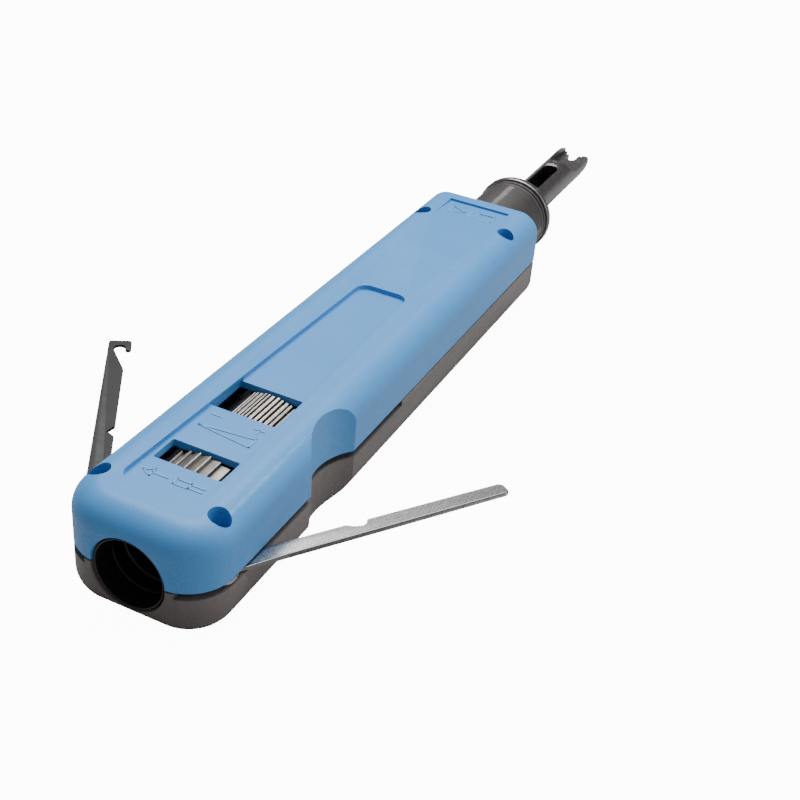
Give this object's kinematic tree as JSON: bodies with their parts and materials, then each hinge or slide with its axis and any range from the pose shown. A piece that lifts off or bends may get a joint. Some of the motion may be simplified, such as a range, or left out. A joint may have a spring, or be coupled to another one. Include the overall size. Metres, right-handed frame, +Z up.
{
  "type": "punch down tool",
  "caption": "Impact punch down tool: two-shell handle with a sprung hammer, a forked blade in a sliding collar, thumb wheels in two windows, and a hook and a spudger that fold out.",
  "frame": {"origin": "on the flat underside of the handle, halfway along it", "axes": "+Y along the tool towards the blade, +Z up out of the top with the windows, +X to the right of that direction"},
  "size_m": [0.0888, 0.2036, 0.0214],
  "materials": {
    "blue_plastic": "satin moulded",
    "grey_plastic": "satin moulded",
    "black_plastic": "matt moulded",
    "ribbed_metal": "ribbed and worn",
    "dark_metal": "black oxide, satin",
    "blade_metal": "hardened, gunmetal",
    "bright_metal": "fine ground",
    "spring_metal": "drawn wire"
  },
  "bodies": {
    "handle": {"upper_shell": "blue_plastic", "lower_shell": "grey_plastic", "case_screw_rear_right": "dark_metal", "case_screw_rear_left": "dark_metal", "case_screw_front_right": "dark_metal", "case_screw_front_left": "dark_metal", "storage_tube": "black_plastic", "dial_detent": "spring_metal", "latch_ramp": "bright_metal", "guide_pin": "bright_metal", "main_spring": "spring_metal", "release_spring": "spring_metal", "hook_washer": "bright_metal", "spudger_washer": "bright_metal"},
    "hook": {"hook_tool": "dark_metal"},
    "spudger": {"spudger_tool": "bright_metal"},
    "wheel": {"release_wheel": "ribbed_metal"},
    "catch": {"storage_catch": "bright_metal"},
    "dial": {"impact_dial": "ribbed_metal"},
    "seat": {"spring_seat": "dark_metal", "thrust_washer": "bright_metal"},
    "hammer": {"hammer": "dark_metal", "latch_spring": "spring_metal"},
    "latch": {"hammer_latch": "bright_metal"},
    "plunger": {"nose_barrel": "dark_metal", "nose_ring": "dark_metal", "striker_pin": "bright_metal", "retaining_clip": "bright_metal", "return_spring": "spring_metal", "blade_detent": "bright_metal", "detent_spring": "spring_metal"},
    "blade": {"punch_blade": "blade_metal"}
  },
  "joints": [
    {"name": "hook_fold", "type": "hinge", "parent": "handle", "child": "hook", "pos_m": [-0.0115, -0.06075, 0.00945], "axis": [0, 0, 1], "range_deg": [-32, 118]},
    {"name": "spudger_fold", "type": "hinge", "parent": "handle", "child": "spudger", "pos_m": [0.0115, -0.06075, 0.00945], "axis": [0, 0, -1], "range_deg": [-35, 145]},
    {"name": "wheel_turn", "type": "hinge", "parent": "handle", "child": "wheel", "pos_m": [0, -0.05075, 0.01], "axis": [0, -1, 0], "range_deg": [0, 18], "stiffness_Nm_per_rad": 0.05, "springref_deg": -5.73, "deforming": ["release_spring"]},
    {"name": "catch_slide", "type": "slide", "parent": "handle", "child": "catch", "axis": [0, 0, -1], "range_m": [0, 0.00035]},
    {"name": "dial_turn", "type": "hinge", "parent": "handle", "child": "dial", "pos_m": [0, -0.03135, 0.01], "axis": [0, -1, 0], "range_deg": [0, 40]},
    {"name": "seat_slide", "type": "slide", "parent": "handle", "child": "seat", "axis": [0, -1, 0], "range_m": [0, 0.0021]},
    {"name": "plunger_slide", "type": "slide", "parent": "handle", "child": "plunger", "axis": [0, -1, 0], "range_m": [0, 0.009], "stiffness_N_per_m": 3000, "springref_m": -0.004},
    {"name": "hammer_slide", "type": "slide", "parent": "handle", "child": "hammer", "axis": [0, -1, 0], "range_m": [0, 0.0091], "deforming": ["main_spring"]},
    {"name": "latch_slide", "type": "slide", "parent": "hammer", "child": "latch", "axis": [0, 0, 1], "range_m": [0, 0.00155], "deforming": ["latch_spring"]},
    {"name": "blade_twist", "type": "hinge", "parent": "plunger", "child": "blade", "pos_m": [0, 0.08025, 0.01], "axis": [0, 1, 0], "range_deg": [0, 90]}
  ],
  "couplings": [
    {"joint": "catch_slide", "follows": "wheel_turn", "m_per_rad": 0.000955},
    {"joint": "seat_slide", "follows": "dial_turn", "m_per_rad": 0.0028648},
    {"joint": "hammer_slide", "follows": "plunger_slide", "ratio": 1},
    {"joint": "latch_slide", "follows": "plunger_slide", "ratio": 0.16667}
  ]
}
